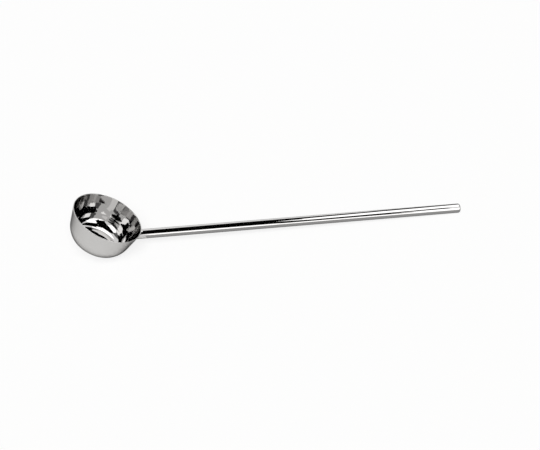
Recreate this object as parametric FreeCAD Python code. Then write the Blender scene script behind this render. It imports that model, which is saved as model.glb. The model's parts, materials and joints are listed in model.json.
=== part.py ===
"""Stainless steel water dipper: a drawn bowl with a long tube handle welded to its side.

It is modelled as it lies on a table: +Z is up, +X runs along the handle towards its tip, and
the XZ plane halves it. The bowl rests on the rounded corner of its base and the handle on its
tip. The origin is the middle of the footprint, on the table. Lengths are in millimetres.

Each piece is built in the bowl's own frame, where the bowl stands level with the centre of its
rim at the origin and the handle rises towards +X. One placement then lays all of them down.
"""

import FreeCAD
import Part

import math
import os

from FreeCAD import Placement, Rotation, Vector

# Bowl, drawn from one disc of sheet: a straight leaning wall, a rounded side, a tighter corner
# and a flat base, each tangent to the next
bowl_rim_radius = 60.0  # where the outside of the wall would meet the rim's plane
bowl_wall_draft_deg = 12.6  # how far the wall leans out from upright
bowl_wall_depth = 32.0  # how far the straight wall comes down from the rim's plane
bowl_side_radius = 40.0
bowl_side_least_turn_deg = 5.0  # the side turns at least this far before the corner takes over
bowl_corner_radius = 18.0
bowl_base_flat_radius = 30.5  # the flat that the bowl stands on when it is held level
bowl_sheet = 1.2  # thickness of the sheet

# Handle, a length of standard round tube
tube_diameter = 15.9
tube_wall = 1.0
handle_angle_deg = 25.4  # how steeply the handle rises above the rim's plane
handle_root_depth = 18.5  # where its axis meets the outside of the wall, below the rim's plane
handle_length = 562.0  # along its axis, from that point to the middle of the end cap's face

# End cap, a pressed cup as wide as the tube
cap_skirt_length = 5.0  # straight side, from the weld groove to the rounded edge
cap_edge_radius = 3.8
cap_crown_radius = 20.0  # of the slightly domed face
cap_sheet = 1.2

# Welds
root_weld_leg = 2.5  # radius of the fillet bead between the tube and the bowl
cap_weld_width = 2.4  # the V groove between the tube and the cap, measured outside
cap_weld_root_face = 0.3  # what is left square at the bottom of the groove

# Working values
saddle_tolerance = 0.01  # how near to the tube and the bowl an edge of their joint lies
tilt_steps = 60  # halvings when the resting tilt is solved
full_turn = 360.0
quarter_turn = math.radians(90.0)

tube_radius = tube_diameter / 2
draft = math.radians(bowl_wall_draft_deg)
rise = math.radians(handle_angle_deg)


def below_level(angle):
    """The direction in the outline's plane that points outwards and down by an angle."""
    return Vector(math.cos(angle), 0, -math.sin(angle))


# The side's arc starts tangent to the foot of the wall, and the corner's arc, tangent to both
# the side and the base, takes over from it at an angle that the size of the flat sets. Where
# the wall leaves the corner less room than its radius needs, that room limits the radius.
wall_foot = Vector(bowl_rim_radius - bowl_wall_depth * math.tan(draft), 0, -bowl_wall_depth)
side_centre = wall_foot - below_level(draft) * bowl_side_radius
flat_reach = bowl_base_flat_radius - side_centre.x
least_turn = draft + math.radians(bowl_side_least_turn_deg)
corner_radius = min(bowl_corner_radius, bowl_side_radius - flat_reach / math.cos(least_turn))
corner_start = math.acos(flat_reach / (bowl_side_radius - corner_radius))
corner_centre = side_centre + below_level(corner_start) * (bowl_side_radius - corner_radius)
bowl_depth = corner_radius - corner_centre.z

# Where the handle's axis meets the outside of the wall, the way that it runs, and the way
# across it in the plane that halves the dipper
root_point = Vector(
    bowl_rim_radius - handle_root_depth * math.tan(draft), 0, -handle_root_depth
)
handle_way = Vector(math.cos(rise), 0, math.sin(rise))
handle_across = Vector(-math.sin(rise), 0, math.cos(rise))

# The cap's rounded edge is tangent to its skirt and to its crown.
cap_edge_reach = tube_radius - cap_edge_radius
cap_crown_angle = math.asin(cap_edge_reach / (cap_crown_radius - cap_edge_radius))
cap_height = cap_crown_radius - (cap_crown_radius - cap_edge_radius) * math.cos(
    cap_crown_angle
)
cap_skirt_end = handle_length - cap_height
tube_end = cap_skirt_end - cap_skirt_length - cap_weld_width / 2


def line(a, b):
    return Part.LineSegment(a, b).toShape()


def arc(a, middle, b):
    return Part.Arc(a, middle, b).toShape()


def largest(shape):
    return max(shape.Solids, key=lambda solid: solid.Volume)


def revolved(edges, centre, way):
    """The solid that a closed outline sweeps in one turn about an axis."""
    face = Part.Face(Part.Wire(edges))
    solid = Part.Solid(face.revolve(centre, way, full_turn))
    if solid.Volume < 0:
        solid.reverse()
    return solid


def outline_arc(centre, radius, start, end):
    """An arc of the bowl's outline between two angles below level."""
    return arc(
        centre + below_level(start) * radius,
        centre + below_level((start + end) / 2) * radius,
        centre + below_level(end) * radius,
    )


def bowl_outline(offset):
    """The outline from the middle of the base to the foot of the wall, offset inside the bowl."""
    side = bowl_side_radius - offset
    corner = corner_radius - offset
    return [
        line(Vector(0, 0, offset - bowl_depth), corner_centre + below_level(quarter_turn) * corner),
        outline_arc(corner_centre, corner, quarter_turn, corner_start),
        outline_arc(side_centre, side, corner_start, draft),
    ]


def make_bowl():
    """One even shell that ends in a polished, fully rounded rim."""
    half = bowl_sheet / 2
    outward = below_level(draft)
    upward = Vector(math.sin(draft), 0, math.cos(draft))
    inside_foot = wall_foot - outward * bowl_sheet
    edge_centre = Vector(bowl_rim_radius, 0, 0) - outward * half
    edge_centre = edge_centre - upward * ((edge_centre.z + half) / math.cos(draft))
    edge_outside = edge_centre + outward * half
    edge_inside = edge_centre - outward * half
    outline = bowl_outline(0)
    outline += [
        line(wall_foot, edge_outside),
        arc(edge_outside, edge_centre + upward * half, edge_inside),
        line(edge_inside, inside_foot),
    ]
    outline += reversed(bowl_outline(bowl_sheet))
    outline.append(line(Vector(0, 0, bowl_sheet - bowl_depth), Vector(0, 0, -bowl_depth)))
    return revolved(outline, Vector(), Vector(0, 0, 1))


def bowl_envelope():
    """The bowl's outside as a filled solid, which shapes the tube's end and the root weld."""
    rim = Vector(bowl_rim_radius, 0, 0)
    outline = bowl_outline(0)
    outline += [
        line(wall_foot, rim),
        line(rim, Vector()),
        line(Vector(), Vector(0, 0, -bowl_depth)),
    ]
    return revolved(outline, Vector(), Vector(0, 0, 1))


def on_handle(radius, distance):
    """A point beside the handle's axis, at a distance along it from the root."""
    return root_point + handle_way * distance + handle_across * radius


def handle_turned(points):
    """A solid turned about the handle's axis from corners given as radius and distance."""
    corners = [on_handle(radius, distance) for radius, distance in points]
    edges = [line(a, b) for a, b in zip(corners, corners[1:] + corners[:1])]
    return revolved(edges, root_point, handle_way)


def make_handle_tube():
    """The tube, coped at its root to seat on the bowl and bevelled at its tip for the weld."""
    bore = tube_radius - tube_wall
    blank = handle_turned(
        [
            (bore, -tube_diameter),
            (tube_radius, -tube_diameter),
            (tube_radius, tube_end - cap_weld_width / 2),
            (bore + cap_weld_root_face, tube_end),
            (bore, tube_end),
        ]
    )
    return largest(blank.cut(bowl_envelope()))


def make_root_weld():
    """The fillet bead that follows the saddle between the tube and the bowl."""
    envelope = bowl_envelope()
    tube = Part.makeCylinder(
        tube_radius,
        tube_end + tube_diameter,
        on_handle(0, -tube_diameter),
        handle_way,
    )
    joined = envelope.fuse(tube).removeSplitter()

    def on_saddle(point):
        from_axis = point.distanceToLine(root_point, handle_way)
        from_bowl = envelope.distToShape(Part.Vertex(point))[0]
        return abs(from_axis - tube_radius) < saddle_tolerance > from_bowl

    saddle = [
        edge
        for edge in joined.Edges
        if all(on_saddle(point) for point in edge.discretize(5))
    ]
    return largest(joined.makeFillet(root_weld_leg, saddle).cut(joined))


def make_cap_weld():
    """The weld that fills the V groove between the tube and the cap, ground flush."""
    half = cap_weld_width / 2
    root = tube_radius - tube_wall + cap_weld_root_face
    return handle_turned(
        [(tube_radius, tube_end - half), (tube_radius, tube_end + half), (root, tube_end)]
    )


def cap_edge_point(offset, angle):
    """A point of the cap's rounded edge, offset inside its surface, at an angle from the skirt."""
    radius = cap_edge_radius - offset
    return on_handle(
        cap_edge_reach + radius * math.cos(angle), cap_skirt_end + radius * math.sin(angle)
    )


def cap_crown_point(offset, angle):
    """A point of the cap's crown, offset inside its surface, at an angle from the axis."""
    radius = cap_crown_radius - offset
    return on_handle(
        radius * math.sin(angle), handle_length - cap_crown_radius + radius * math.cos(angle)
    )


def make_end_cap():
    """The pressed cup that closes the tube: a bevelled skirt, a round edge, a crowned face."""
    turn = quarter_turn - cap_crown_angle
    bore = on_handle(tube_radius - cap_sheet, tube_end)
    root = on_handle(tube_radius - tube_wall + cap_weld_root_face, tube_end)
    skirt_start = on_handle(tube_radius, tube_end + cap_weld_width / 2)
    outline = [
        line(bore, root),
        line(root, skirt_start),
        line(skirt_start, cap_edge_point(0, 0)),
        arc(cap_edge_point(0, 0), cap_edge_point(0, turn / 2), cap_edge_point(0, turn)),
        arc(
            cap_edge_point(0, turn),
            cap_crown_point(0, cap_crown_angle / 2),
            cap_crown_point(0, 0),
        ),
        line(cap_crown_point(0, 0), cap_crown_point(cap_sheet, 0)),
        arc(
            cap_crown_point(cap_sheet, 0),
            cap_crown_point(cap_sheet, cap_crown_angle / 2),
            cap_edge_point(cap_sheet, turn),
        ),
        arc(
            cap_edge_point(cap_sheet, turn),
            cap_edge_point(cap_sheet, turn / 2),
            cap_edge_point(cap_sheet, 0),
        ),
        line(cap_edge_point(cap_sheet, 0), bore),
    ]
    return revolved(outline, root_point, handle_way)


def lowest_points(tilt):
    """Heights of the bowl's and the tip's lowest points, tilted about the rim's centre."""

    def height(point):
        return point.z * math.cos(tilt) - point.x * math.sin(tilt)

    tip_edge_centre = on_handle(-cap_edge_reach, cap_skirt_end)
    return height(corner_centre) - corner_radius, height(tip_edge_centre) - cap_edge_radius


def resting_tilt():
    """The tilt at which the bowl and the tip of the handle touch the table together."""
    low = rise
    high = rise + quarter_turn / 2
    for _ in range(tilt_steps):
        middle = (low + high) / 2
        bowl_low, tip_low = lowest_points(middle)
        if tip_low > bowl_low:
            low = middle
        else:
            high = middle
    return low


def resting_placement(shapes):
    """Where the level bowl's frame goes when the dipper lies on the table over the origin."""
    tilt = resting_tilt()
    turn = Placement(Vector(), Rotation(Vector(0, 1, 0), math.degrees(tilt)))
    turned = [shape.copy() for shape in shapes]
    for shape in turned:
        shape.Placement = turn
    box = Part.makeCompound(turned).optimalBoundingBox()
    lift = -lowest_points(tilt)[0]
    return Placement(Vector(-box.Center.x, 0, lift), Rotation()).multiply(turn)


pieces = {
    "bowl": make_bowl(),
    "handle_tube": make_handle_tube(),
    "root_weld": make_root_weld(),
    "end_cap": make_end_cap(),
    "cap_weld": make_cap_weld(),
}
resting = resting_placement(pieces.values())

os.makedirs("parts", exist_ok=True)
for name, shape in pieces.items():
    shape.Placement = resting
    shape.exportStep(f"parts/{name}.step")
    print(name, "valid" if shape.isValid() else "not valid", round(shape.Volume, 1), "mm3")

print("rim centre", resting.multVec(Vector()), "bowl axis", resting.Rotation.multVec(Vector(0, 0, 1)))
print("root point", resting.multVec(root_point), "handle way", resting.Rotation.multVec(handle_way))
print("tube end", round(tube_end, 3), "tilt", round(math.degrees(resting_tilt()), 4))
print("bowl depth", round(bowl_depth, 4), "corner starts at", round(math.degrees(corner_start), 3))
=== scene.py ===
"""Looks, table and light of a mirror-polished stainless steel water dipper.

The dipper lies on a white table with its bowl towards -X and its handle along +X. Every length is
in metres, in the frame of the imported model, which gives the places of the bowl and of the handle.
The steel mirrors a white studio with lit panels, grey cards and black flags round the dipper.
"""

import json
import math

import bmesh
import bpy
import numpy as np
from bpy.props import FloatProperty, FloatVectorProperty, IntProperty, PointerProperty
from mathutils import Matrix, Vector


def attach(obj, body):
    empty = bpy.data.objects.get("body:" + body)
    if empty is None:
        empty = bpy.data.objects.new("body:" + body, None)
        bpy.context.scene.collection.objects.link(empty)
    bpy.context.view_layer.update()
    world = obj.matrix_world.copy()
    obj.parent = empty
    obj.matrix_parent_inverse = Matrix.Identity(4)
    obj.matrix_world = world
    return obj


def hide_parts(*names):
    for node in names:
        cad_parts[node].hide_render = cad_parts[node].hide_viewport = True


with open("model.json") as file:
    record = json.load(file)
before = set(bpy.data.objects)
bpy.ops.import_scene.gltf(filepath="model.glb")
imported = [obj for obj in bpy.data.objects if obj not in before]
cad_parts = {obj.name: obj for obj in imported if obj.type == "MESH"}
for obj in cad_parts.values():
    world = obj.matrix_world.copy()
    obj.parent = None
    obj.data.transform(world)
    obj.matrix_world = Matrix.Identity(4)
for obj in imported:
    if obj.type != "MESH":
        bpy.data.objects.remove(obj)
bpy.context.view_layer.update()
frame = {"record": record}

bl_info = {
    "name": "Steel water dipper",
    "version": (1, 0, 0),
    "blender": (4, 5, 0),
    "location": "3D View > Sidebar > Dipper",
    "description": "Dresses a polished steel water dipper and sets its table, light and camera",
    "category": "Object",
}

MM = 0.001
FULL_TURN = math.radians(360)
HALF_TURN = math.radians(180)
QUARTER_TURN = math.radians(90)
GRIP_MOUNT_FROM_ROOT = 400 * MM  # how far up the handle the grip mount is stated
HANDLE_STEPS = 192  # columns of faces round the tube, the cap and its weld

# Stretches of the turned map that draw the hair lines: per radian of turn, then per metre along
LINES_ROUND = (1.5, 1 / (0.35 * MM), 1.0)  # they run round the piece, 0.35 mm apart
LINES_LENGTHWISE = (40.0, 1 / (40 * MM), 1.0)  # they run along it, about 40 to a radian

TABLE_REACH = 4  # how far the table goes each way from its middle, in metres
TABLE_SHOWN_WHITE = 0.8  # the share of plain white in what the camera sees of the table
KEY_LIGHT_LEAN = (math.radians(35), math.radians(-8), 0)  # away from straight down
CAMERA_PLACE = (-0.25087, -1.54450, 1.31437)
CAMERA_DOWN = math.radians(39.736)  # how far it looks down from level
CAMERA_TURN = math.radians(-9.205)  # how far it is turned from looking along +Y
FILM_WIDTH = 36  # in millimetres


def linear(code):
    """The linear colour of an sRGB hex code."""
    channels = [int(code[i : i + 2], 16) / 255 for i in (1, 3, 5)]
    return [c / 12.92 if c <= 0.04045 else ((c + 0.055) / 1.055) ** 2.4 for c in channels]


def length(name, default, description):
    return FloatProperty(
        name=name, description=description, default=default * MM, min=0, precision=5, unit="LENGTH"
    )


def shade(name, code, description):
    return FloatVectorProperty(
        name=name, description=description, default=linear(code), subtype="COLOR"
    )


def strength(name, default, description):
    return FloatProperty(name=name, description=description, default=default, min=0)


class DipperSizes(bpy.types.PropertyGroup):
    """The driving sizes of the dipper, the same as those of its solids."""

    rim_radius: length("Rim radius", 60, "Where the outside of the wall meets the rim's plane")
    wall_draft: FloatProperty(
        name="Wall draft",
        description="How far the wall leans out from upright",
        default=math.radians(12.6),
        subtype="ANGLE",
    )
    wall_depth: length("Wall depth", 32, "How far the straight wall comes down from the rim")
    side_radius: length("Side radius", 40, "The rounding under the straight wall")
    corner_radius: length("Corner radius", 18, "The tighter rounding above the base")
    base_radius: length("Base radius", 30.5, "The flat of the base")
    sheet: length("Sheet", 1.2, "Thickness of the bowl's sheet")
    tube_diameter: length("Tube diameter", 15.9, "Outside of the handle's tube")
    tube_wall: length("Tube wall", 1, "Wall of the handle's tube")
    handle_length: length("Handle length", 562, "From the bowl's wall to the face of the cap")
    cap_skirt: length("Cap skirt", 5, "Straight side of the end cap")
    cap_edge: length("Cap edge radius", 3.8, "Rounded edge of the end cap")
    cap_crown: length("Cap crown radius", 20, "Dome of the end cap's face")
    cap_sheet: length("Cap sheet", 1.2, "Thickness of the end cap")
    groove: length("Weld groove", 2.4, "Width of the weld between the tube and the cap")
    groove_root: length("Weld groove's root", 0.3, "What is left square under that weld")
    weld_leg: length("Root weld", 2.5, "Radius of the fillet bead between the tube and the bowl")
    steps: IntProperty(
        name="Steps round", description="Columns of faces in one turn", default=256, min=24
    )


class DipperFinish(bpy.types.PropertyGroup):
    """Colours and textures of the steel."""

    steel: shade("Steel", "#CAC9C8", "Polished stainless steel")
    bead: shade("Weld bead", "#C2BFBA", "Brushed weld metal")
    straw: shade("Heat tint", "#D8C7A0", "Straw tint beside the weld")
    ripple_pitch: length("Ripple pitch", 0.9, "Distance between two ripples of the root weld")
    ripple_height: length("Ripple height", 0.06, "Height of the root weld's ripples")


class DipperStage(bpy.types.PropertyGroup):
    """The table, the light and the camera."""

    table: shade("Table", "#F4F4F3", "Matt white table")
    fill: strength("Fill light", 0.3, "Strength of the even light on the table")
    key: strength("Key light", 2.77, "Strength of the soft light from above")
    key_softness: FloatProperty(
        name="Key softness",
        description="Angle that the key light fills, seen from the table",
        default=math.radians(40),
        subtype="ANGLE",
    )
    panel: strength("Panel light", 2.1, "Radiance of the lit panels")
    soft_panel: strength("Soft panel light", 1.4, "Radiance of the turned-down panel")
    # Painted shadow: the grey card lies on the table in front of and under the handle, and shows
    # only in the steel.
    painted_shadow_glow: strength("Painted shadow card", 0.45, "Radiance of the grey card")
    dark_card: strength("Dark card", 0.15, "Radiance of the dark grey cards")
    lens: FloatProperty(
        name="Lens",
        description="Focal length on 36 mm film",
        default=80,
        min=1,
        subtype="DISTANCE_CAMERA",
    )


def add(tree, kind, inputs=None, **settings):
    """A new node with its settings. An input takes a value or another node's output."""
    made = tree.nodes.new(kind)
    for name, value in settings.items():
        setattr(made, name, value)
    for name, value in (inputs or {}).items():
        if isinstance(value, bpy.types.NodeSocket):
            tree.links.new(value, made.inputs[name])
        else:
            made.inputs[name].default_value = value
    return made


def maths(tree, operation, first, second=0.0):
    """The output of one sum on two numbers or outputs."""
    return add(tree, "ShaderNodeMath", {0: first, 1: second}, operation=operation).outputs[0]


def mount(name):
    return next(m for m in frame["record"]["mounts"] if m["name"] == name)


def piece_frame(origin, way):
    """The matrix whose Z axis runs along a way in the XZ plane, with Y as in the frame."""
    side = Vector((0, 1, 0))
    across = side.cross(way)
    matrix = Matrix((across, side, way)).transposed().to_4x4()
    matrix.translation = origin
    return matrix


def bowl_axis():
    return -Vector(mount("bowl_base")["axis"]).normalized()


def handle_frame():
    """The handle's own frame: Z along it to the tip, from where its axis meets the bowl's wall."""
    grip = mount("handle_grip")
    way = Vector(grip["axis"]).normalized()
    return piece_frame(Vector(grip["pos_m"]) - way * GRIP_MOUNT_FROM_ROOT, way)


# Outlines: lists of (radius, height) from which the turned pieces are made


def arc(centre, radius, start, end, steps):
    """Points of an arc between two angles below level, without its first point."""
    angles = np.linspace(start, end, steps + 1)[1:]
    return [(centre[0] + radius * math.cos(a), centre[1] - radius * math.sin(a)) for a in angles]


def run(start, end, steps):
    """Evenly spaced points of a straight line, without its first point."""
    parts = np.linspace(0, 1, steps + 1)[1:]
    return [tuple(np.add(start, np.subtract(end, start) * p)) for p in parts]


class BowlShape:
    """The bowl's outline, in its own frame with the rim's plane at height zero."""

    # Rows of faces along each stretch of the outline
    BASE_ROWS, CORNER_ROWS, SIDE_ROWS, WALL_ROWS, RIM_ROWS = 10, 26, 18, 14, 14

    def __init__(self, sizes):
        self.sizes = sizes
        self.draft = sizes.wall_draft
        self.outward = np.array((math.cos(self.draft), -math.sin(self.draft)))
        self.upward = np.array((math.sin(self.draft), math.cos(self.draft)))
        self.foot = np.array(
            (sizes.rim_radius - sizes.wall_depth * math.tan(self.draft), -sizes.wall_depth)
        )
        self.side = self.foot - self.outward * sizes.side_radius
        reach = sizes.side_radius - sizes.corner_radius
        self.turn = math.acos((sizes.base_radius - self.side[0]) / reach)
        self.corner = self.side + reach * np.array((math.cos(self.turn), -math.sin(self.turn)))
        self.depth = sizes.corner_radius - self.corner[1]

    def half(self, offset):
        """From the middle of the base to the foot of the wall, offset inside the bowl."""
        sizes = self.sizes
        height = offset - self.depth
        corner = sizes.corner_radius - offset
        points = [(0.0, height)]
        points += run((0.0, height), (sizes.base_radius, height), self.BASE_ROWS)
        points += arc(self.corner, corner, QUARTER_TURN, self.turn, self.CORNER_ROWS)
        side = sizes.side_radius - offset
        return points + arc(self.side, side, self.turn, self.draft, self.SIDE_ROWS)

    def outline(self):
        """From the middle of the base, up the outside, over the rim and down the inside."""
        half_sheet = self.sizes.sheet / 2
        edge = np.array((self.sizes.rim_radius, 0.0)) - self.outward * half_sheet
        edge = edge - self.upward * ((edge[1] + half_sheet) / self.upward[1])
        outside = self.half(0)
        inside = self.half(self.sizes.sheet)
        points = outside + run(outside[-1], edge + self.outward * half_sheet, self.WALL_ROWS)
        points += arc(edge, half_sheet, self.draft, self.draft - HALF_TURN, self.RIM_ROWS)
        points += run(edge - self.outward * half_sheet, inside[-1], self.WALL_ROWS)
        return points + inside[-2::-1]

    def rim_along(self):
        """How far along the outline the rim lies."""
        gaps = np.diff(np.array(self.outline()), axis=0)
        return float(np.linalg.norm(gaps, axis=1).sum()) / 2

    def wall_distance(self, point):
        """How far outside the straight wall a point lies, given in the bowl's frame."""
        radius = math.hypot(point.x, point.y)
        return (radius - self.sizes.rim_radius) * self.outward[0] + point.z * self.outward[1]


def cap_heights(sizes):
    """Heights along the handle of the tube's end and of the end of the cap's skirt."""
    radius = sizes.tube_diameter / 2
    lean = math.asin((radius - sizes.cap_edge) / (sizes.cap_crown - sizes.cap_edge))
    rise = sizes.cap_crown - (sizes.cap_crown - sizes.cap_edge) * math.cos(lean)
    skirt_end = sizes.handle_length - rise
    return skirt_end - sizes.cap_skirt - sizes.groove / 2, skirt_end, lean


def cap_outline(sizes):
    """The pressed cup that closes the tube, from the middle of its face round to its inside."""
    radius = sizes.tube_diameter / 2
    tube_end, skirt_end, lean = cap_heights(sizes)
    crown = (0.0, sizes.handle_length - sizes.cap_crown)
    edge = (radius - sizes.cap_edge, skirt_end)
    crown_rows, edge_rows, skirt_rows = 8, 14, 4

    def shell(offset):
        points = [(0.0, sizes.handle_length - offset)]
        edge_start = lean - QUARTER_TURN
        points += arc(crown, sizes.cap_crown - offset, -QUARTER_TURN, edge_start, crown_rows)
        return points + arc(edge, sizes.cap_edge - offset, edge_start, 0, edge_rows)

    outside = shell(0)
    inside = shell(sizes.cap_sheet)
    root = radius - sizes.tube_wall + sizes.groove_root
    outside += run(outside[-1], (radius, tube_end + sizes.groove / 2), skirt_rows)
    outside += [(root, tube_end), (radius - sizes.cap_sheet, tube_end)]
    return outside + inside[::-1]


def groove_outline(sizes):
    """The V of weld metal between the tube and the cap, ground flush."""
    radius = sizes.tube_diameter / 2
    tube_end = cap_heights(sizes)[0]
    low, high = (radius, tube_end - sizes.groove / 2), (radius, tube_end + sizes.groove / 2)
    root = (radius - sizes.tube_wall + sizes.groove_root, tube_end)
    face_rows = 4
    return [low] + run(low, high, face_rows) + [root, low]


def tube_outline(sizes):
    """The tube's wall, from its root, where it is coped afterwards, to its bevelled end."""
    radius = sizes.tube_diameter / 2
    bore = radius - sizes.tube_wall
    tube_end = cap_heights(sizes)[0]
    shoulder = (radius, tube_end - sizes.groove / 2)
    tube_rows = 60
    points = [(bore, 0.0), (radius, 0.0)]
    points += run((radius, 0.0), shoulder, tube_rows)
    return points + [(bore + sizes.groove_root, tube_end), (bore, tube_end), (bore, 0.0)]


# Geometry Nodes


def turned_tree():
    """Turns an outline's points about Z, and keeps turn and distance along as a UV map."""
    tree = bpy.data.node_groups.new("Turned about an axis", "GeometryNodeTree")
    face = tree.interface
    face.new_socket("Outline", in_out="INPUT", socket_type="NodeSocketGeometry")
    steps = face.new_socket("Steps round", in_out="INPUT", socket_type="NodeSocketInt")
    finish = face.new_socket("Finish", in_out="INPUT", socket_type="NodeSocketMaterial")
    face.new_socket("Turned piece", in_out="OUTPUT", socket_type="NodeSocketGeometry")
    given = add(tree, "NodeGroupInput").outputs
    count = add(
        tree, "GeometryNodeAttributeDomainSize", {"Geometry": given["Outline"]}, component="MESH"
    ).outputs["Point Count"]
    grid = add(
        tree,
        "GeometryNodeMeshGrid",
        {
            "Size X": 1.0,
            "Size Y": 1.0,
            "Vertices X": maths(tree, "ADD", given["Steps round"], 1.0),
            "Vertices Y": count,
        },
    ).outputs
    cell = add(tree, "ShaderNodeSeparateXYZ", {"Vector": grid["UV Map"]}).outputs
    turn = maths(tree, "MULTIPLY", cell["X"], FULL_TURN)
    last = maths(tree, "SUBTRACT", count, 1.0)
    row = maths(tree, "ROUND", maths(tree, "MULTIPLY", cell["Y"], last))
    corner = add(
        tree,
        "GeometryNodeSampleIndex",
        {
            "Geometry": given["Outline"],
            "Value": add(tree, "GeometryNodeInputPosition").outputs["Position"],
            "Index": row,
        },
        data_type="FLOAT_VECTOR",
    ).outputs["Value"]
    along = add(
        tree,
        "GeometryNodeSampleIndex",
        {
            "Geometry": given["Outline"],
            "Value": add(
                tree, "GeometryNodeInputNamedAttribute", {"Name": "along"}, data_type="FLOAT"
            ).outputs["Attribute"],
            "Index": row,
        },
        data_type="FLOAT",
    ).outputs["Value"]
    part = add(tree, "ShaderNodeSeparateXYZ", {"Vector": corner}).outputs
    place = add(
        tree,
        "ShaderNodeCombineXYZ",
        {
            "X": maths(tree, "MULTIPLY", part["X"], maths(tree, "COSINE", turn)),
            "Y": maths(tree, "MULTIPLY", part["X"], maths(tree, "SINE", turn)),
            "Z": part["Z"],
        },
    ).outputs["Vector"]
    moved = add(
        tree, "GeometryNodeSetPosition", {"Geometry": grid["Mesh"], "Position": place}
    ).outputs["Geometry"]
    pattern = add(tree, "ShaderNodeCombineXYZ", {"X": turn, "Y": along}).outputs["Vector"]
    mapped = add(
        tree,
        "GeometryNodeStoreNamedAttribute",
        {"Geometry": moved, "Name": "turned", "Value": pattern},
        data_type="FLOAT2",
        domain="CORNER",
    ).outputs["Geometry"]
    closed = add(
        tree, "GeometryNodeMergeByDistance", {"Geometry": mapped, "Distance": 0.001 * MM}
    ).outputs["Geometry"]
    smooth = add(tree, "GeometryNodeSetShadeSmooth", {"Geometry": closed}).outputs["Geometry"]
    real = add(tree, "GeometryNodeRealizeInstances", {"Geometry": smooth}).outputs["Geometry"]
    coated = add(
        tree, "GeometryNodeSetMaterial", {"Geometry": real, "Material": given["Finish"]}
    ).outputs["Geometry"]
    add(tree, "NodeGroupOutput", {"Turned piece": coated})
    return tree, {"Steps round": steps.identifier, "Finish": finish.identifier}


def ripple_tree():
    """Raises ripples across a weld bead, evenly along it but for a little unevenness."""
    tree = bpy.data.node_groups.new("Ripples of a weld bead", "GeometryNodeTree")
    face = tree.interface
    face.new_socket("Bead", in_out="INPUT", socket_type="NodeSocketGeometry")
    pitch = face.new_socket("Pitch", in_out="INPUT", socket_type="NodeSocketFloat")
    height = face.new_socket("Height", in_out="INPUT", socket_type="NodeSocketFloat")
    seed = face.new_socket("Seed", in_out="INPUT", socket_type="NodeSocketFloat")
    finish = face.new_socket("Finish", in_out="INPUT", socket_type="NodeSocketMaterial")
    face.new_socket("Rippled bead", in_out="OUTPUT", socket_type="NodeSocketGeometry")
    given = add(tree, "NodeGroupInput").outputs

    def stored(name):
        found = add(
            tree, "GeometryNodeInputNamedAttribute", {"Name": name}, data_type="FLOAT"
        )
        return found.outputs["Attribute"]

    crown = stored("crown")
    uneven_over = 4 * MM
    stretches = maths(tree, "DIVIDE", stored("along"), uneven_over)
    uneven = add(
        tree,
        "ShaderNodeTexNoise",
        {"W": maths(tree, "ADD", stretches, given["Seed"]), "Scale": 1.0},
        noise_dimensions="1D",
    ).outputs["Fac"]
    # Each ripple lags towards the middle of the bead, as the edge of a weld pool does.
    lag_in_pitches = 0.35
    lag = maths(tree, "MULTIPLY", crown, lag_in_pitches)
    cycles = maths(tree, "DIVIDE", stored("along"), given["Pitch"])
    phase = maths(tree, "ADD", maths(tree, "SUBTRACT", cycles, lag), uneven)
    wave = maths(tree, "SINE", maths(tree, "MULTIPLY", phase, FULL_TURN))
    rise = maths(tree, "MULTIPLY", maths(tree, "MULTIPLY", wave, crown), given["Height"])
    normal = add(tree, "GeometryNodeInputNormal").outputs["Normal"]
    offset = add(
        tree, "ShaderNodeVectorMath", {0: normal, "Scale": rise}, operation="SCALE"
    ).outputs["Vector"]
    moved = add(
        tree, "GeometryNodeSetPosition", {"Geometry": given["Bead"], "Offset": offset}
    ).outputs["Geometry"]
    smooth = add(tree, "GeometryNodeSetShadeSmooth", {"Geometry": moved}).outputs["Geometry"]
    real = add(tree, "GeometryNodeRealizeInstances", {"Geometry": smooth}).outputs["Geometry"]
    coated = add(
        tree, "GeometryNodeSetMaterial", {"Geometry": real, "Material": given["Finish"]}
    ).outputs["Geometry"]
    add(tree, "NodeGroupOutput", {"Rippled bead": coated})
    names = {"Pitch": pitch, "Height": height, "Seed": seed, "Finish": finish}
    return tree, {name: socket.identifier for name, socket in names.items()}


def grown(obj, tree, identifiers, values):
    """Runs a Geometry Nodes tree on an object and keeps the result as its plain mesh."""
    modifier = obj.modifiers.new(tree.name, "NODES")
    modifier.node_group = tree
    for name, value in values.items():
        modifier[identifiers[name]] = value
    graph = bpy.context.evaluated_depsgraph_get()
    graph.update()
    mesh = bpy.data.meshes.new_from_object(obj.evaluated_get(graph))
    obj.modifiers.clear()
    obj.data = mesh
    return obj


def new_object(name, vertices, faces=()):
    mesh = bpy.data.meshes.new(name)
    mesh.from_pydata([tuple(v) for v in vertices], [], faces)
    obj = bpy.data.objects.new(name, mesh)
    bpy.context.scene.collection.objects.link(obj)
    return obj


def keep_numbers(mesh, name, values):
    """Stores one number for each vertex."""
    attribute = mesh.attributes.new(name, "FLOAT", "POINT")
    attribute.data.foreach_set("value", np.asarray(values, np.float32))


def faced_outwards(obj):
    """Points every face outwards and keeps edges over 30 degrees sharp."""
    shape = bmesh.new()
    shape.from_mesh(obj.data)
    bmesh.ops.recalc_face_normals(shape, faces=shape.faces)
    shape.to_mesh(obj.data)
    shape.free()
    obj.data.set_sharp_from_angle(angle=math.radians(30))
    return obj


def turned(name, outline, place, finish, steps):
    """A turned piece from its outline, put in its place in the frame."""
    obj = new_object(name, [(r, 0.0, z) for r, z in outline])
    gaps = np.linalg.norm(np.diff(np.array(outline), axis=0), axis=1)
    keep_numbers(obj.data, "along", np.concatenate(([0.0], np.cumsum(gaps))))
    tree, identifiers = turned_tree()
    grown(obj, tree, identifiers, {"Steps round": steps, "Finish": finish})
    obj.data.transform(place)
    return faced_outwards(obj)


def handed_over(obj, node):
    """The piece stands for its CAD node, which is hidden, and hangs from the root body."""
    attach(obj, "root")
    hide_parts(node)


# Materials


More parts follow.
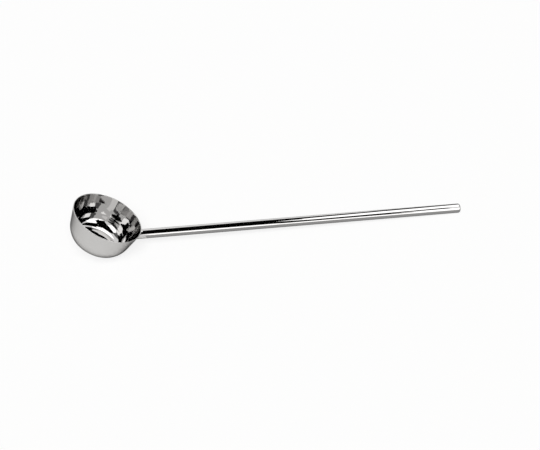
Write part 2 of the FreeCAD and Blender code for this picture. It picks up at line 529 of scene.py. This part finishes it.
def draw_folds(tree, turned_map, rim_along, reach):
    """Faint folds down the wall, as deep drawing leaves them, fading out towards the base."""
    part = add(tree, "ShaderNodeSeparateXYZ", {"Vector": turned_map}).outputs
    ring_radius = 8.0  # in cells of the noise, so that about 50 folds go round the wall
    fold_length = 150 * MM
    place = add(
        tree,
        "ShaderNodeCombineXYZ",
        {
            "X": maths(tree, "MULTIPLY", maths(tree, "COSINE", part["X"]), ring_radius),
            "Y": maths(tree, "MULTIPLY", maths(tree, "SINE", part["X"]), ring_radius),
            "Z": maths(tree, "DIVIDE", part["Y"], fold_length),
        },
    ).outputs["Vector"]
    folds = add(
        tree, "ShaderNodeTexNoise", {"Vector": place, "Scale": 1.0, "Detail": 1.0}
    ).outputs["Fac"]
    from_rim = maths(tree, "ABSOLUTE", maths(tree, "SUBTRACT", part["Y"], rim_along))
    kept = add(
        tree,
        "ShaderNodeMapRange",
        {
            "Value": from_rim,
            "From Min": reach,
            "From Max": reach / 2,
            "To Min": 0.0,
            "To Max": 1.0,
        },
        interpolation_type="SMOOTHSTEP",
    ).outputs["Result"]
    return maths(tree, "MULTIPLY", folds, kept)


def polished_steel(name, colour, roughness, waviness, lines, folds=None):
    """Stainless steel polished on a buffing wheel.

    It mirrors its surroundings in a neutral grey, a little unevenly, because the sheet keeps a
    slight waviness, and the wheel leaves hair lines too fine to see one by one, which only
    blur the mirror a little one way. They are drawn as coarse as shows. Towards its outline it is
    drawn to mirror darker than real steel would, which gives the piece a thin dark edge.
    """
    swell_size, handled_size = 14 * MM, 22 * MM
    line_depth = 0.0004 * MM
    material = bpy.data.materials.new(name)
    material.use_nodes = True
    tree = material.node_tree
    shader = tree.nodes["Principled BSDF"]
    shader.inputs["Base Color"].default_value = (*colour, 1)
    shader.inputs["Metallic"].default_value = 1.0
    # Painted shade: this grey tint makes the mirror darker towards the outline, which draws a thin
    # dark edge round the piece.
    shader.inputs["Specular Tint"].default_value = (*linear("#7C7C7C"), 1)
    place = add(tree, "ShaderNodeTexCoord").outputs["Object"]
    swell = add(
        tree, "ShaderNodeTexNoise", {"Vector": place, "Scale": 1 / swell_size, "Detail": 1.0}
    ).outputs["Fac"]
    turned_map = add(tree, "ShaderNodeUVMap", uv_map="turned").outputs["UV"]
    lines_place = add(
        tree, "ShaderNodeMapping", {"Vector": turned_map, "Scale": lines}
    ).outputs["Vector"]
    hair_lines = add(
        tree, "ShaderNodeTexNoise", {"Vector": lines_place, "Scale": 1.0, "Detail": 2.0}
    ).outputs["Fac"]
    handled = add(
        tree, "ShaderNodeTexNoise", {"Vector": place, "Scale": 1 / handled_size, "Detail": 3.0}
    ).outputs["Fac"]
    blur = add(
        tree,
        "ShaderNodeMapRange",
        {
            "Value": handled,
            "From Min": 0.35,
            "From Max": 0.7,
            "To Min": roughness,
            "To Max": roughness * 1.8,
        },
    ).outputs["Result"]
    tree.links.new(blur, shader.inputs["Roughness"])
    wavy = add(
        tree, "ShaderNodeBump", {"Height": swell, "Strength": 1.0, "Distance": waviness}
    ).outputs["Normal"]
    lined = add(
        tree,
        "ShaderNodeBump",
        {"Height": hair_lines, "Strength": 1.0, "Distance": line_depth, "Normal": wavy},
    ).outputs["Normal"]
    if folds:
        height = draw_folds(tree, turned_map, folds["rim_along"], folds["reach"])
        lined = add(
            tree,
            "ShaderNodeBump",
            {
                "Height": height,
                "Strength": 1.0,
                "Distance": folds["height"],
                "Normal": lined,
            },
        ).outputs["Normal"]
    tree.links.new(lined, shader.inputs["Normal"])
    return material


def brushed_bead(finish):
    """A weld bead of stainless steel, brushed clean, which keeps a satin gloss and a straw tint."""
    material = bpy.data.materials.new("Brushed stainless steel weld bead")
    material.use_nodes = True
    tree = material.node_tree
    shader = tree.nodes["Principled BSDF"]
    shader.inputs["Metallic"].default_value = 1.0
    shader.inputs["Roughness"].default_value = 0.22
    place = add(tree, "ShaderNodeTexCoord").outputs["Object"]
    patch_size = 3 * MM
    patches = add(
        tree, "ShaderNodeTexNoise", {"Vector": place, "Scale": 1 / patch_size, "Detail": 2.0}
    ).outputs["Fac"]
    tint = add(
        tree,
        "ShaderNodeMix",
        {"Factor": patches, "A": (*finish.bead, 1), "B": (*finish.straw, 1)},
        data_type="RGBA",
    )
    tree.links.new(tint.outputs[2], shader.inputs["Base Color"])
    return material


def plain(name, colour, glow=0.0):
    """A matt surface, or with a glow an evenly lit diffuser."""
    material = bpy.data.materials.new(name)
    material.use_nodes = True
    tree = material.node_tree
    shader = tree.nodes["Principled BSDF"]
    shader.inputs["Base Color"].default_value = (*colour, 1)
    shader.inputs["Roughness"].default_value = 1.0
    shader.inputs["Specular IOR Level"].default_value = 0.0
    shader.inputs["Emission Color"].default_value = (1, 1, 1, 1)
    shader.inputs["Emission Strength"].default_value = glow
    return material


def table_material(stage):
    """Matt white laminate. The camera sees it mostly plain white, with a faint shadow kept."""
    material = plain("Matt white laminate", stage.table)
    tree = material.node_tree
    shader = tree.nodes["Principled BSDF"]
    output = next(n for n in tree.nodes if n.type == "OUTPUT_MATERIAL")
    seen = add(tree, "ShaderNodeLightPath").outputs["Is Camera Ray"]
    white = add(tree, "ShaderNodeEmission", {"Color": (1, 1, 1, 1), "Strength": 1.0}).outputs[0]
    share = maths(tree, "MULTIPLY", seen, TABLE_SHOWN_WHITE)
    mixed = add(
        tree, "ShaderNodeMixShader", {"Fac": share, 1: shader.outputs[0], 2: white}
    ).outputs[0]
    tree.links.new(mixed, output.inputs["Surface"])
    return material


# Pieces


class Dress:
    """What every piece's operator shares."""

    bl_options = {"REGISTER", "UNDO"}

    def sizes(self, context):
        return context.scene.dipper_sizes

    def finish(self, context):
        return context.scene.dipper_finish


def bowl_frame(shape):
    axis = bowl_axis()
    return piece_frame(Vector(mount("bowl_base")["pos_m"]) + axis * shape.depth, axis)


class DIPPER_OT_bowl(Dress, bpy.types.Operator):
    """Make the drawn bowl"""

    bl_idname = "dipper.bowl"
    bl_label = "Bowl"

    def execute(self, context):
        sizes = self.sizes(context)
        shape = BowlShape(sizes)
        steel = polished_steel(
            "Mirror-polished stainless steel sheet",
            self.finish(context).steel,
            roughness=0.03,
            waviness=0.004 * MM,
            lines=LINES_ROUND,
            folds={"rim_along": shape.rim_along(), "reach": 70 * MM, "height": 0.15 * MM},
        )
        bowl = turned("drawn_bowl", shape.outline(), bowl_frame(shape), steel, sizes.steps)
        handed_over(bowl, "bowl")
        return {"FINISHED"}


def saddle_height(shape, to_bowl, radius, turn, clearance):
    """How far along the handle a line beside its axis comes within a clearance of the bowl."""
    search, halvings = 20 * MM, 50
    low, high = -search, search
    for _ in range(halvings):
        middle = (low + high) / 2
        point = Vector((radius * math.cos(turn), radius * math.sin(turn), middle))
        if shape.wall_distance(to_bowl @ point) < clearance:
            low = middle
        else:
            high = middle
    return low


class DIPPER_OT_handle(Dress, bpy.types.Operator):
    """Make the handle's tube, coped to the bowl"""

    bl_idname = "dipper.handle"
    bl_label = "Handle tube"

    def execute(self, context):
        sizes = self.sizes(context)
        shape = BowlShape(sizes)
        place = handle_frame()
        to_bowl = bowl_frame(shape).inverted() @ place
        steel = polished_steel(
            "Mirror-polished stainless steel tube",
            self.finish(context).steel,
            roughness=0.03,
            waviness=0.0002 * MM,
            lines=LINES_LENGTHWISE,
        )
        outline = tube_outline(sizes)
        tube = turned("handle_tube_polished", outline, Matrix(), steel, HANDLE_STEPS)
        at_root = 0.001 * MM
        for vertex in tube.data.vertices:
            if vertex.co.z < at_root:
                radius = math.hypot(vertex.co.x, vertex.co.y)
                turn = math.atan2(vertex.co.y, vertex.co.x)
                vertex.co.z = saddle_height(shape, to_bowl, radius, turn, 0.0)
        tube.data.transform(place)
        handed_over(tube, "handle_tube")
        return {"FINISHED"}


class DIPPER_OT_end_cap(Dress, bpy.types.Operator):
    """Make the end cap and the weld that holds it"""

    bl_idname = "dipper.end_cap"
    bl_label = "End cap"

    def execute(self, context):
        sizes = self.sizes(context)
        place = handle_frame()
        steel = polished_steel(
            "Mirror-polished pressed stainless steel",
            self.finish(context).steel,
            roughness=0.035,
            waviness=0.002 * MM,
            lines=LINES_ROUND,
        )
        cap = turned("pressed_end_cap", cap_outline(sizes), place, steel, HANDLE_STEPS)
        handed_over(cap, "end_cap")
        ground = polished_steel(
            "Stainless steel weld, ground flush and polished",
            self.finish(context).steel,
            roughness=0.05,
            waviness=0.002 * MM,
            lines=LINES_ROUND,
        )
        weld = turned("ground_cap_weld", groove_outline(sizes), place, ground, HANDLE_STEPS)
        handed_over(weld, "cap_weld")
        return {"FINISHED"}


class DIPPER_OT_root_weld(Dress, bpy.types.Operator):
    """Make the rippled weld bead round the handle's root"""

    bl_idname = "dipper.root_weld"
    bl_label = "Root weld"

    def execute(self, context):
        sizes = self.sizes(context)
        finish = self.finish(context)
        shape = BowlShape(sizes)
        place = handle_frame()
        to_bowl = bowl_frame(shape).inverted() @ place
        bead = weld_bead(sizes, shape, to_bowl, columns=240, rows=14)
        tree, identifiers = ripple_tree()
        values = {
            "Pitch": finish.ripple_pitch,
            "Height": finish.ripple_height,
            "Seed": 3.0,
            "Finish": brushed_bead(finish),
        }
        grown(bead, tree, identifiers, values)
        bead.data.transform(place)
        faced_outwards(bead)
        handed_over(bead, "root_weld")
        return {"FINISHED"}


def weld_bead(sizes, shape, to_bowl, columns, rows):
    """The fillet that a ball rolling round the joint would leave, in the handle's frame."""
    radius = sizes.tube_diameter / 2
    leg = sizes.weld_leg
    from_bowl = to_bowl.to_3x3().inverted()
    vertices, along, crown = [], [], []
    travelled = 0.0
    last = None
    for column in range(columns):
        turn = FULL_TURN * column / columns
        out = Vector((math.cos(turn), math.sin(turn), 0))
        height = saddle_height(shape, to_bowl, radius + leg, turn, leg)
        ball = out * (radius + leg) + Vector((0, 0, height))
        in_bowl = to_bowl @ ball
        level = Vector((in_bowl.x, in_bowl.y, 0)).normalized()
        wall = from_bowl @ (level * shape.outward[0] + Vector((0, 0, shape.outward[1])))
        start, end = -out, -wall
        spread = start.angle(end)
        travelled += (ball - last).length if last else 0.0
        last = ball
        for row in range(rows + 1):
            part = row / rows
            way = (
                start * math.sin((1 - part) * spread) + end * math.sin(part * spread)
            ) / math.sin(spread)
            vertices.append(ball + way * leg)
            along.append(travelled)
            crown.append(math.sin(math.pi * part))
        corner = saddle_height(shape, to_bowl, radius, turn, 0.0)
        vertices.append(out * radius + Vector((0, 0, corner)))
        along.append(travelled)
        crown.append(0.0)
    ring = rows + 2
    faces = []
    for column in range(columns):
        here, there = column * ring, (column + 1) % columns * ring
        for row in range(ring):
            up = (row + 1) % ring
            faces.append((here + row, here + up, there + up, there + row))
    bead = new_object("rippled_root_weld", vertices, faces)
    keep_numbers(bead.data, "along", along)
    keep_numbers(bead.data, "crown", crown)
    return bead


# Table, light and camera


def flat(name, corners, material):
    """A flat piece of the stage."""
    obj = new_object(name, corners, [tuple(range(len(corners)))])
    obj.data.materials.append(material)
    return obj


def card(name, corners, material):
    """A flat card of the studio, which only shows in the steel."""
    obj = flat(name, corners, material)
    obj.visible_camera = False
    obj.visible_diffuse = False
    obj.visible_shadow = False


def level_card(name, height, corners, material):
    """A card that hangs level over the table."""
    card(name, [(x, y, height) for x, y in corners], material)


def upright_card(name, start, end, low, high, material):
    """A card that stands upright over the line between two points of the table."""
    card(name, [(*start, low), (*end, low), (*end, high), (*start, high)], material)


def box(left, right, near, far):
    """The corners of a level rectangle."""
    return ((left, near), (right, near), (right, far), (left, far))


class DIPPER_OT_stage(bpy.types.Operator):
    """Set the table, the studio's panels and cards, and the camera"""

    bl_idname = "dipper.stage"
    bl_label = "Table, light and camera"
    bl_options = {"REGISTER", "UNDO"}

    def execute(self, context):
        stage = context.scene.dipper_stage
        top = box(-TABLE_REACH, TABLE_REACH, -TABLE_REACH, TABLE_REACH)
        flat("table", [(x, y, 0) for x, y in top], table_material(stage))
        self.surroundings(context, stage)
        self.key_light(context, stage)
        self.cards(stage)
        self.camera(context, stage)
        context.scene.view_settings.view_transform = "Standard"
        return {"FINISHED"}

    def surroundings(self, context, stage):
        """An even white studio, full white to the camera and in the steel, dimmer as a light."""
        world = bpy.data.worlds.new("White studio")
        context.scene.world = world
        world.use_nodes = True
        tree = world.node_tree
        path = add(tree, "ShaderNodeLightPath").outputs
        shown = maths(tree, "MAXIMUM", path["Is Camera Ray"], path["Is Glossy Ray"])
        shown = maths(tree, "MAXIMUM", shown, path["Is Transmission Ray"])
        level = add(
            tree, "ShaderNodeMapRange", {"Value": shown, "To Min": stage.fill, "To Max": 1.0}
        ).outputs["Result"]
        background = tree.nodes["Background"]
        background.inputs["Color"].default_value = (1, 1, 1, 1)
        tree.links.new(level, background.inputs["Strength"])

    def key_light(self, context, stage):
        """A wide soft light from above, on the camera's side, for the shadow on the table."""
        data = bpy.data.lights.new("Soft key light", "SUN")
        data.energy = stage.key
        data.angle = stage.key_softness
        lamp = bpy.data.objects.new("Soft key light", data)
        lamp.rotation_euler = KEY_LIGHT_LEAN
        lamp.visible_glossy = False
        context.scene.collection.objects.link(lamp)

    def cards(self, stage):
        """What the steel mirrors besides the white studio. A nearer card hides those behind it.

        Places are in metres from the middle of the table, and heights are over the table. The lit
        panels are brighter than white, because steel gives back little more than half of that.
        """
        velvet = linear("#020202")
        bright = plain("Lit diffuser", velvet, glow=stage.panel)
        soft = plain("Lit diffuser, turned down", velvet, glow=stage.soft_panel)
        # The grey card is a painted shadow on the table in front of and under the handle, seen only
        # in the steel.
        grey = plain("Painted shadow card", velvet, glow=stage.painted_shadow_glow)
        dark = plain("Dark grey card", velvet, glow=stage.dark_card)
        black = plain("Black velvet flag", velvet)
        # Low over the handle: its black line, which runs off to the back right towards the tip.
        near_edge = ((-0.21, -0.075), (-0.01, -0.06), (0.085, 0.0), (0.19, 0.035), (0.36, 0.12))
        far_edge = ((1.2, 1.2), (0.7, 1.2), (0.3, 0.37), (0.21, 0.165), (0.095, 0.1), (-0.21, 0.05))
        level_card("flag_low", 0.12, (*near_edge, *far_edge), black)
        wing = ((-0.2, -0.2), (-0.02, -0.16), (0.12, -0.06), (0.12, 0.03), (-0.14, -0.05))
        level_card("flag_over_root", 0.35, wing, black)
        # High, on the camera's side: the black pool on the bowl's floor.
        right_edge = ((-0.35, -2.0), (0.5, -2.1), (0.45, -1.1), (0.2, -0.35), (-0.2, 0.0))
        left_edge = ((-0.66, -0.05), (-0.68, -0.3), (-0.5, -0.9), (-0.4, -1.2))
        level_card("flag_over_bowl", 1.0, (*right_edge, *left_edge), black)
        # High, to the right of the camera: the handle's second black line.
        left_edge = ((0.2, -0.85), (0.56, -0.36), (0.64, -0.24))
        right_edge = ((0.74, -0.9), (0.4, -1.75), (0.3, -2.1))
        level_card("flag_near_tip", 1.01, (*left_edge, *right_edge), black)
        # High, round these flags: white and dark grey beside the dark lines.
        left = ((-1.25, -0.45), (-0.85, -0.12), (-0.2, -0.6), (-0.2, -0.95), (-1.0, -0.95))
        level_card("panel_left", 1.02, left, bright)
        far_left = ((-0.6, -0.2), (-1.7, 0.0), (-1.1, 0.75), (-0.55, 0.15))
        level_card("dark_left", 1.03, far_left, dark)
        near_edge = ((-0.2, 0.05), (0.2, -0.35), (0.2, -0.8), (0.7, -0.3))
        far_edge = ((0.95, 1.3), (0.6, 0.55), (-0.2, 0.55))
        level_card("panel_over_handle", 1.05, (*near_edge, *far_edge), bright)
        # On the table, seen only in the steel: a painted shadow in front of and under the handle,
        # which makes the handle's underside mirror darker.
        level_card("painted_shadow_under_handle", 0.2 * MM, box(-0.21, 0.36, -0.15, 0.01), grey)
        # Standing round the table.
        upright_card("flag_beside_panel", (0.33, -1.83), (0.71, -1.49), 0.65, 1.35, black)
        upright_card("panel_back", (-0.2, 1.3), (0.6, 1.3), 0.0, 1.0, soft)
        upright_card("panel_near", (-0.1, -2.4), (1.5, -2.4), 0.0, 1.1, bright)
        upright_card("panel_right", (0.75, -1.46), (1.46, -0.82), 0.2, 1.4, bright)
        upright_card("dark_right", (0.8, 1.5), (1.7, 0.1), 0.0, 0.5, dark)

    def camera(self, context, stage):
        data = bpy.data.cameras.new("Camera")
        data.lens = stage.lens
        data.sensor_width = FILM_WIDTH
        camera = bpy.data.objects.new("Camera", data)
        camera.location = CAMERA_PLACE
        camera.rotation_euler = (QUARTER_TURN - CAMERA_DOWN, 0, CAMERA_TURN)
        context.scene.collection.objects.link(camera)
        context.scene.camera = camera


class DIPPER_PT_panel(bpy.types.Panel):
    """Sizes, finishes and pieces of the dipper"""

    bl_label = "Steel water dipper"
    bl_space_type = "VIEW_3D"
    bl_region_type = "UI"
    bl_category = "Dipper"

    def draw(self, context):
        layout = self.layout
        for group_name in GROUPS:
            group = getattr(context.scene, group_name)
            part = layout.box()
            for name in group.__annotations__:
                part.prop(group, name)
        for operator in OPERATORS:
            layout.operator(operator.bl_idname)


GROUPS = {"dipper_sizes": DipperSizes, "dipper_finish": DipperFinish, "dipper_stage": DipperStage}
OPERATORS = (
    DIPPER_OT_bowl,
    DIPPER_OT_handle,
    DIPPER_OT_end_cap,
    DIPPER_OT_root_weld,
    DIPPER_OT_stage,
)


def register():
    for name, group in GROUPS.items():
        bpy.utils.register_class(group)
        setattr(bpy.types.Scene, name, PointerProperty(type=group))
    for kind in (*OPERATORS, DIPPER_PT_panel):
        bpy.utils.register_class(kind)


def unregister():
    for kind in (DIPPER_PT_panel, *reversed(OPERATORS)):
        bpy.utils.unregister_class(kind)
    for name, group in reversed(GROUPS.items()):
        delattr(bpy.types.Scene, name)
        bpy.utils.unregister_class(group)


def main():
    """Register the dipper's tools, make every piece and set the stage."""
    register()
    bpy.ops.dipper.bowl()
    bpy.ops.dipper.handle()
    bpy.ops.dipper.end_cap()
    bpy.ops.dipper.root_weld()
    bpy.ops.dipper.stage()


if __name__ == "__main__":
    main()
